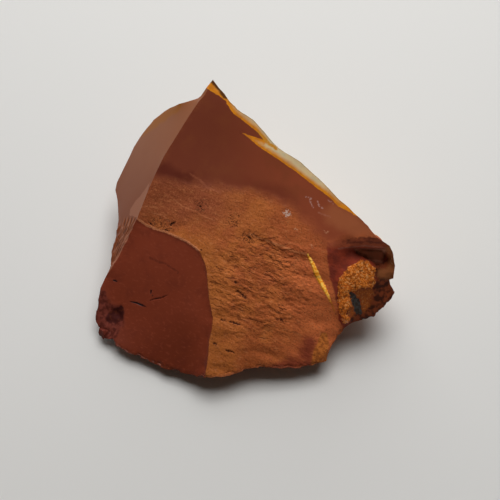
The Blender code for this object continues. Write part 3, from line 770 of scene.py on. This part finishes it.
crust = inside(spots, CRUST_RING)
rise += CRUST_HEIGHT * ramp(crust, *CRUST_SLOPE) * on_front
crust_cover = drawn("crust", crust, (-0.2, 0.0), fray=2.0, size=0.9, detail=4.0)
grains = Shade.node(
    "ShaderNodeTexVoronoi", {}, {"Vector": stone_place, "Scale": 1 / (CRUST_GRAIN * MM)})
ochre = over(CRUST_OCHRE, CRUST_RUST, between(grains, 0.3, 0.6))
ochre = clouds(ochre, CRUST_PALE, 0.7, (0.54, 0.64), cover=0.75)
ochre = clouds(ochre, CRUST_GAP, 1.0, (0.45, 0.36), cover=0.75)
stain = between(frayed(frayed(stained_here, 2.0, 0.9, detail=4.0), 3.0, 2.2), 2.1, 0.3)
paint = over(paint, over(ochre, STAIN_DARK, 0.55), 0.68 * stain * flank_cover)
paint = over(paint, ochre, crust_cover)
spot = drawn(
    "teal_spot", inside(spots, TEAL_RING), (-0.02, 0.22), fray=1.6, size=0.7, detail=4.0)
paint = over(paint, clouds(SPOT_BLACK, SPOT_TEAL, 0.8, (0.45, 0.6)), spot)
dull = level(dull, 0.85, crust_cover)
grit = level(grit, 0.12 * (1 - grains) + 0.45 * grain(1.1), crust_cover)


# The ochre strip and the gold vein. Silica of a paler colour fills a thin crack down the
# middle's right side, at the end of a small step with a painted highlight on its lit upper
# edge, and the same ochre shows at the foot. The vein's left side has painted shade.
STRIP_RING = [
    (18.9, -22.1), (20.5, -21.9), (21.1, -25.3), (20.5, -29.6), (20.0, -60), (15.0, -60),
    (16.3, -30.9), (16.8, -27.2), (18.1, -24.5)]
VEIN_RISE = 0.1
VEIN_SLOPE = 0.3
STRIP_OCHRE = tint(176, 101, 44)
STRIP_BROWN = tint(140, 76, 33)
VEIN_GOLD = tint(240, 152, 36)
VEIN_PALE = tint(255, 200, 92)
VEIN_SHADE = tint(160, 106, 24)
VEIN_TAIL = tint(170, 96, 36)
STEP_HIGHLIGHT = tint(184, 114, 72)

# Shares of the way down the vein, each with half of its width there.
VEIN_HALF = ((0, 0.3), (0.3, 0.7), (0.6, 0.55), (0.85, 0.25), (1, 0.1))

strip = inside(spots, STRIP_RING) * np.where(coloured, 1, -1)
fill = clouds(STRIP_OCHRE, STRIP_BROWN, 0.9, (0.4, 0.6))
paint = over(paint, fill, drawn("strip", strip, (-0.25, 0.25), fray=0.7, size=0.9))
away, along = from_line(spots, VEIN)
vein = np.interp(along, *zip(*VEIN_HALF)) - away
rise += VEIN_RISE * ramp(vein, 0.0, VEIN_SLOPE) * on_front
vein_across, vein_up = zip(*VEIN[::-1])
right_of_vein = spots[:, 0] - np.interp(spots[:, 1], vein_up, vein_across)
gold = clouds(VEIN_GOLD, VEIN_PALE, 0.7, (0.4, 0.6))
# The vein's left side is painted darker gold: painted shade.
gold = over(gold, VEIN_SHADE, 0.9 * drawn("vein_side", right_of_vein, (-0.1, -0.5)))
gold = over(gold, VEIN_TAIL, drawn("vein_along", along, (0.7, 0.85), fray=0.3, size=0.6))
paint = over(paint, gold, drawn("vein", vein, (-0.08, 0.12), fray=0.6, size=0.5))
# A painted highlight on the small step's lit upper edge.
step_highlight = drawn("step_line", away_from(STEP_LINE), (0.5, 0.0), fray=0.7, size=0.6)
paint = over(paint, STEP_HIGHLIGHT, 0.7 * step_highlight)


# The low edges. Small chips broke out of them, from the corner round to the lobe, which left
# them uneven and specked dark. Right of the corner there are pale specks too.
LOW_EDGE = [
    (-41.3, -18.5), (-39.1, -23.7), (-35.6, -25.7), (-33.1, -27.3), (-25.9, -30.1),
    (-18.7, -32.8), (-13.9, -34.0), (-7.7, -34.0), (-1.9, -32.3), (3.2, -31.2), (12.8, -31.5),
    (18.4, -30.5), (20.8, -27.7), (25.1, -21.1), (32.8, -18.1), (37.9, -13.2), (38.7, -11.1)]
LOW_EDGE_REACH = (1.3, 0.1)
UNCHIPPED = [(19.5, -27.5), (21.5, -25.0)]
UNCHIPPED_REACH = (1.5, 4.0)
OVER_TABLE = 2.0
CHIP_LIMITS = (0.0, 0.4)
SPECK_COVER = 0.55
CHIP_SPECK = tint(64, 30, 19)
PALE_CHIP_SPECK = tint(160, 92, 62)

# Each size of chip, with its depth.
CHIP_SIZES = ((4.0, 0.3), (1.9, 0.45), (0.9, 0.22))


def lumps(chosen, size, shift=Vector((0, 0, 0))):
    """Smooth noise at some of the stone's corners, in lumps of about a size in millimetres."""
    return np.array([noise.noise(Vector(place) / size + shift) for place in places[chosen]])


from_low_edge = away_from(LOW_EDGE)
chipped = ramp(from_low_edge, *LOW_EDGE_REACH) * (places[:, 2] > OVER_TABLE)
chipped *= ramp(away_from(UNCHIPPED), *UNCHIPPED_REACH)
at_edge = chipped > 0
for size, depth in CHIP_SIZES:
    rise[at_edge] -= depth * chipped[at_edge] * ramp(lumps(at_edge, size), *CHIP_LIMITS)
low_here = mark("low_edge", from_low_edge)
paint = over(paint, CHIP_SPECK, SPECK_COVER * between(frayed(low_here, 1.8, 0.6), 1.1, 0.2))
pale_specks = between(frayed(low_here, 2.6, 0.5), 0.05, -0.4) * between(across_here, -37.0, -34.0)
paint = over(paint, PALE_CHIP_SPECK, SPECK_COVER * pale_specks)


# The bands on the top edge. Under the old rind the stone is bleached cream, with a gold line
# where the bleaching stopped. It forks once, and a gold wedge fills the fork. Just past the
# outline the bands are darkened with painted shade.
BAND_RING = BAND_EDGE + FORK_EDGE[1:] + [(60, 9), (60, 60), (-9.9, 60), (-12.5, 44)]
GOLD_WEDGE = [(2.1, 31.4), (4.0, 29.5), (6.9, 26.9)]
APEX_DARK = [(-9.9, 45.6), (-8.3, 44.3), (-6.4, 41.4)]
WARM_CREAM = tint(222, 196, 150)
COOL_CREAM = tint(206, 190, 152)
LINE_GOLD = tint(222, 138, 34)
DEEP_GOLD = tint(204, 124, 38)
WEDGE_GOLD = tint(206, 140, 48)
APEX_BROWN = tint(92, 56, 32)
FAR_EDGE_SHADE = tint(128, 98, 50)

# Places across, each with the share of cream there. The rest is gold.
CREAM_SHARES = ((-10, 0), (-6, 0.3), (-2, 0.55), (2, 0.7), (6, 1), (19, 0.9), (26, 0))

band_here = mark("band", np.where(coloured, inside(spots, BAND_RING), -1))
band_cover = between(frayed(band_here, 0.3, 1.0), -0.1, 0.1)
cream_here = mark("cream", np.interp(spots[:, 0], *zip(*CREAM_SHARES)))
cream_cover = between(frayed(band_here, 0.25, 0.8), 0.325, 1.475) * cream_here
cream = clouds(WARM_CREAM, COOL_CREAM, 2.5, (0.45, 0.6))
banded = over(clouds(LINE_GOLD, DEEP_GOLD, 1.2, (0.4, 0.6)), cream, cream_cover)
banded = over(banded, WEDGE_GOLD, drawn("gold_wedge", away_from(GOLD_WEDGE), (0.65, 0.25)))
apex = drawn("apex_dark", away_from(APEX_DARK), (1.45, 0.85), fray=0.5, size=0.8)
banded = over(banded, APEX_BROWN, apex)
# Painted shade: the band's corners just past the outline, turned away from the eye, are darkened to
# a dull olive.
banded = over(banded, FAR_EDGE_SHADE, 0.8 * drawn("over_edge", steps_away, (0.3, 1.3)))
paint = over(paint, banded, band_cover)
dull = level(dull, 0.35, band_cover)
grit = level(grit, 0.004 * grain(0.5), band_cover)


# Knocks and scuffs. Where the stone met others, its skin is crushed to a pale powder, in thin
# scratches on the right of the upper break and in a few small spots.
SCUFFS = [
    [(14.9, 14.1), (16.3, 13.9), (16.0, 13.1), (16.8, 11.5)],
    [(17.9, 13.1), (18.6, 11.7), (19.5, 11.2)],
    [(20.8, 13.3), (22.1, 12.3)]]
FAINT_SCUFF = [(18.1, 10.1), (21.3, 8.8)]
WHITE_SPOTS = [[(9.2, 9.9), (9.9, 10.3)], [(9.6, 9.2), (10.6, 9.6)]]
SMALL_SPOTS = [
    [(12.0, 5.8), (12.6, 5.3)], [(16.2, 1.5), (16.7, 0.8)], [(20.1, 4.9), (20.6, 4.7)],
    [(24.4, -18.3), (25.9, -19.0)]]
CRUSHED_PINK = tint(190, 150, 140)
CRUSHED_RED = tint(170, 110, 88)
CRUSHED_WHITE = tint(205, 185, 172)
CRUSHED_OCHRE = tint(196, 140, 104)

scuffs = drawn("scuffs", away_from(*SCUFFS), (0.31, 0.0), fray=0.7, size=0.4)
paint = over(paint, CRUSHED_PINK, 0.6 * scuffs)
faint_scuff = drawn("faint_scuff", away_from(FAINT_SCUFF), (0.35, 0.05), fray=0.5, size=0.6)
paint = over(paint, CRUSHED_RED, 0.5 * faint_scuff)
white_spots = drawn("white_spots", away_from(*WHITE_SPOTS), (0.5, 0.1), fray=2.0, size=0.3)
paint = over(paint, CRUSHED_WHITE, 0.65 * white_spots)
small_spots = drawn("small_spots", away_from(*SMALL_SPOTS), (0.3, 0.0), fray=1.8, size=0.35)
paint = over(paint, CRUSHED_OCHRE, 0.7 * small_spots)


# The hidden side, which is guessed. The old outer skin of the nodule is pale, lumpy and
# pitted. Beside it each break is bleached cream, then gold, and red-brown further in.
BACK_RIDGE = [(-5.0, 29.0, 33.0), (-7.0, 30.0, 20.0), (-8.0, 27.0, 5.5)]
RIND_FOOT = [(8.0, 24.5, 4.2), (22.0, 14.0, 3.6), (32.5, 1.0, 4.6), (38.2, -9.5, 8.0)]
RIND_RING = [(-9.9, 45.4), (-9.9, 60), (60, 60), (60, -11.1), (38.7, -11.1)]
RIND_RING += [tuple(spot) for spot in on_sheet(np.array(RIND_FOOT[::-1] + BACK_RIDGE[::-1]))]
RIND_BORDER = (0.2, 1.6)
RIND_STEPS = 4
RIND_PIT_SIZE = 2.1
RIND_PIT_SHIFT = Vector((7.0, 3.0, 1.0))
RIND_PIT_LIMIT = 0.22
RIND_PIT_DEPTH = 1.1
BREAK_BORDER = 1.5
BREAK_OVER_TABLE = (0.3, 1.8)
BREAK_LUMP_SIZE = 3.2
BREAK_LUMP_HEIGHT = 0.35
BREAK_RIDGE_SIZE = 2.4
BREAK_RIDGE_HEIGHT = 0.25
BREAK_SINK = 0.3
BACK_RED = tint(104, 48, 32)
BACK_RUST = tint(132, 70, 40)
BACK_MAROON = tint(88, 36, 30)
BACK_OCHRE = tint(168, 112, 52)
BLEACH_GOLD = tint(190, 122, 46)
BLEACH_CREAM = tint(196, 168, 126)
LOW_DARK = tint(90, 44, 30)
SKIN_PALE = tint(190, 164, 130)
SKIN_TAN = tint(168, 132, 96)
SKIN_RUST = tint(150, 96, 58)
SKIN_CHALK = tint(206, 190, 164)
SKIN_SPECK = tint(96, 66, 46)
SKIN_PIT = tint(112, 72, 46)

# Each size of lump on the rind, with its height, and how the ridges of the broken back repeat:
# their fade, step, number of layers, offset and gain.
RIND_LUMPS = ((2.6, 0.7), (1.3, 0.35))
BREAK_RIDGE_FRACTAL = (1.0, 2.2, 3, 0.9, 2.0)

rind = inside(spots, RIND_RING)
on_rind = ramp(rind, *RIND_BORDER) * ramp(steps_away, 0, RIND_STEPS) * ~on_table
lumpy = on_rind > 0
pitted = np.maximum(0, lumps(lumpy, RIND_PIT_SIZE, RIND_PIT_SHIFT) - RIND_PIT_LIMIT)
heights = sum(height * lumps(lumpy, size) for size, height in RIND_LUMPS)
rise[lumpy] += on_rind[lumpy] * (heights - RIND_PIT_DEPTH * pitted)
pit_cover = drawn("rind_height", rise * on_rind, (-0.15, -0.5))
broken = ~on_front & ~on_table & (rind < 0)
ridges = np.array([
    noise.ridged_multi_fractal(Vector(place) / BREAK_RIDGE_SIZE, *BREAK_RIDGE_FRACTAL)
    for place in places[broken]])
heights = BREAK_LUMP_HEIGHT * lumps(broken, BREAK_LUMP_SIZE) + BREAK_RIDGE_HEIGHT * ridges
off_edges = ramp(-rind, 0, BREAK_BORDER) * ramp(places[:, 2], *BREAK_OVER_TABLE)
off_edges *= ramp(steps_away, 0, FAR_STEPS)
rise[broken] += off_edges[broken] * (heights - BREAK_SINK)

from_rind = np.minimum(
    from_line(places, BACK_RIDGE)[0], from_line(places, BACK_RIDGE[-1:] + RIND_FOOT)[0])
deep = clouds(BACK_RED, BACK_RUST, 11.0, (0.42, 0.6), detail=4.0)
deep = clouds(deep, BACK_MAROON, 8.0, (0.55, 0.65))
deep = clouds(deep, BACK_OCHRE, 13.0, (0.62, 0.7), cover=0.8, detail=4.0)
bleach = frayed(frayed(mark("beside_rind", from_rind), 1.6, 2.0), 5.0, 9.0)
deep = over(deep, BLEACH_GOLD, between(bleach, 4.2, 3.4))
deep = over(deep, BLEACH_CREAM, between(bleach, 3.4, 2.8))
deep = over(deep, LOW_DARK, 0.8 * between(frayed(low_here, 2.0, 2.0), 4.5, 2.0))
skin = clouds(SKIN_PALE, SKIN_TAN, 5.0, (0.4, 0.65), detail=4.0)
skin = clouds(skin, SKIN_RUST, 7.0, (0.55, 0.68), cover=0.8, detail=5.0)
skin = clouds(skin, SKIN_CHALK, 2.0, (0.55, 0.7), cover=0.6)
skin = clouds(skin, SKIN_SPECK, 1.4, (0.38, 0.28), cover=0.8)
skin = over(skin, SKIN_PIT, 0.8 * pit_cover)
rind_here = mark("rind", rind)
skin_cover = between(rind_here, -0.3, 0.3)
behind = over(deep, skin, between(frayed(rind_here, 1.6, 1.6), -0.3, 0.3))
seen_cover = mark("seen", coloured)
paint = over(behind, paint, seen_cover)
dull = level(level(0.6, 0.85, skin_cover), dull, seen_cover)
hidden_grit = level(0.05 * grain(0.6), 0.3 * grain(1.0, detail=4.0), skin_cover)
grit = level(hidden_grit, grit, seen_cover)


# The knocked corner. The low left corner hit something hard once: it is crushed, uneven and
# dark red on both its sides, and a chip is gone from the one that is seen. Painted shade
# fills the chip's hollow.
CORNER_RING = [
    (-33.6, -15.5), (-33.4, -19.5), (-35.6, -24.0), (-36.0, -30.0), (-46.0, -30.0),
    (-46.0, -10.0), (-38.6, -10.5), (-37.2, -13.8)]
CORNER_BORDER = 1.5
KNOCK_SINK = 0.08
CHIP_RING = [
    (-38.4, -17.8), (-36.1, -15.7), (-34.6, -14.8), (-33.8, -15.6), (-33.7, -18.6),
    (-36.0, -19.6), (-38.6, -19.2)]
CHIP_DEPTH = 0.45
CHIP_SLOPE = (-0.5, 1.2)
KNOCKED_RED = tint(98, 44, 34)
KNOCKED_DARK = tint(72, 28, 20)
CHIP_SHADE = tint(56, 19, 11)
CHIP_SHADE_RED = tint(72, 30, 18)

# Each size of lump that the knocks left, with its height.
KNOCK_LUMPS = ((1.7, 0.4), (0.7, 0.16))

corner = inside(spots, CORNER_RING)
knocked = (corner > 0) & ~on_table
heights = sum(height * lumps(knocked, size) for size, height in KNOCK_LUMPS)
rise[knocked] += ramp(corner[knocked], 0, CORNER_BORDER) * (heights - KNOCK_SINK)
chip = inside(spots, CHIP_RING)
rise -= CHIP_DEPTH * ramp(chip, *CHIP_SLOPE) * on_front
corner_here = mark("knocked_corner", corner)
knocked_cover = between(frayed(corner_here, 1.6, 1.2, detail=4.0), -0.2, 0.8)
crushed = clouds(KNOCKED_RED, KNOCKED_DARK, 1.1, (0.42, 0.6), detail=4.0)
paint = over(paint, crushed, knocked_cover)
# Painted shade fills the chip's hollow, in dark red and near black.
chip_shade_cover = drawn("corner_chip", chip, (-0.25, 0.25), fray=0.9, size=1.2, detail=4.0)
paint = over(paint, clouds(CHIP_SHADE, CHIP_SHADE_RED, 0.9, (0.5, 0.65), detail=4.0), chip_shade_cover)
dull = level(dull, 0.8, between(corner_here, -0.5, 0.3) * scar_cover * seen_cover)


# The finished stone. It is left as it was found, neither cut nor polished. All of its relief
# goes into the mesh, and its colours, dullness, shine and finest grit into one material.
COAT_ROUGHNESS = 0.25
SPECULAR = 0.25

finished = (places + rise[:, None] * normals) * MM
mesh.vertices.foreach_set("co", finished.ravel().astype(np.float32))
mesh.update()

shader = Shade.tree.nodes["Principled BSDF"]
relief = Shade.node("ShaderNodeBump", {}, {"Height": grit, "Distance": MM, "Strength": 1.0})
Shade.tree.links.new(paint.socket, shader.inputs["Base Color"])
Shade.tree.links.new(dull.socket, shader.inputs["Roughness"])
Shade.tree.links.new(shine.socket, shader.inputs["Coat Weight"])
Shade.tree.links.new(relief.socket, shader.inputs["Normal"])
shader.inputs["Coat Roughness"].default_value = COAT_ROUGHNESS
shader.inputs["Specular IOR Level"].default_value = SPECULAR
mesh.materials.clear()
mesh.materials.append(material)

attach(stone, "root")
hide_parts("stone")


# The setting. The stone lies on a plain pale table. A broad soft lamp hangs above it, a little
# behind, more light comes from a window behind, and the camera looks down from the front.
TABLE_WIDTH = 1.6
TABLE_COLOUR = (0.775, 0.77, 0.75, 1)
TABLE_ROUGHNESS = 0.6
LAMP_PLACE = (0.05, 0.25, 0.68)
LAMP_WIDTH = 0.6
LAMP_DEPTH = 0.5
LAMP_POWER = 3.55
WINDOW_PLACE = (0.0, 0.62, 0.38)
WINDOW_WIDTH = 0.8
WINDOW_POWER = 2.95
ROOM_COLOUR = (1, 0.86, 0.7, 1)
ROOM_LIGHT = 0.05
LENS = 86.4

bpy.ops.object.select_all(action="DESELECT")
bpy.ops.mesh.primitive_plane_add(size=TABLE_WIDTH)
table = bpy.context.object
table.name = "table_top"
table_paint = bpy.data.materials.new("pale_table")
table_paint.use_nodes = True
table_shader = table_paint.node_tree.nodes["Principled BSDF"]
table_shader.inputs["Base Color"].default_value = TABLE_COLOUR
table_shader.inputs["Roughness"].default_value = TABLE_ROUGHNESS
table.data.materials.append(table_paint)


def soft_light(place, power, width):
    """Hang a square light at a place, turned to the stone."""
    bpy.ops.object.light_add(type="AREA", location=place)
    light = bpy.context.object
    light.data.energy = power
    light.data.size = width
    light.rotation_euler = Vector(place).to_track_quat("Z", "Y").to_euler()
    return light


lamp = soft_light(LAMP_PLACE, LAMP_POWER, LAMP_WIDTH)
lamp.data.shape = "RECTANGLE"
lamp.data.size_y = LAMP_DEPTH
soft_light(WINDOW_PLACE, WINDOW_POWER, WINDOW_WIDTH)

room = bpy.data.worlds.new("soft_room")
room.use_nodes = True
room.node_tree.nodes["Background"].inputs["Color"].default_value = ROOM_COLOUR
room.node_tree.nodes["Background"].inputs["Strength"].default_value = ROOM_LIGHT
bpy.context.scene.world = room
bpy.context.scene.view_settings.view_transform = "Standard"

bpy.ops.object.camera_add(location=EYE * MM, rotation=(radians(90) - SIGHT_LIFT, 0, 0))
camera = bpy.context.object
camera.data.lens = LENS
bpy.context.scene.camera = camera
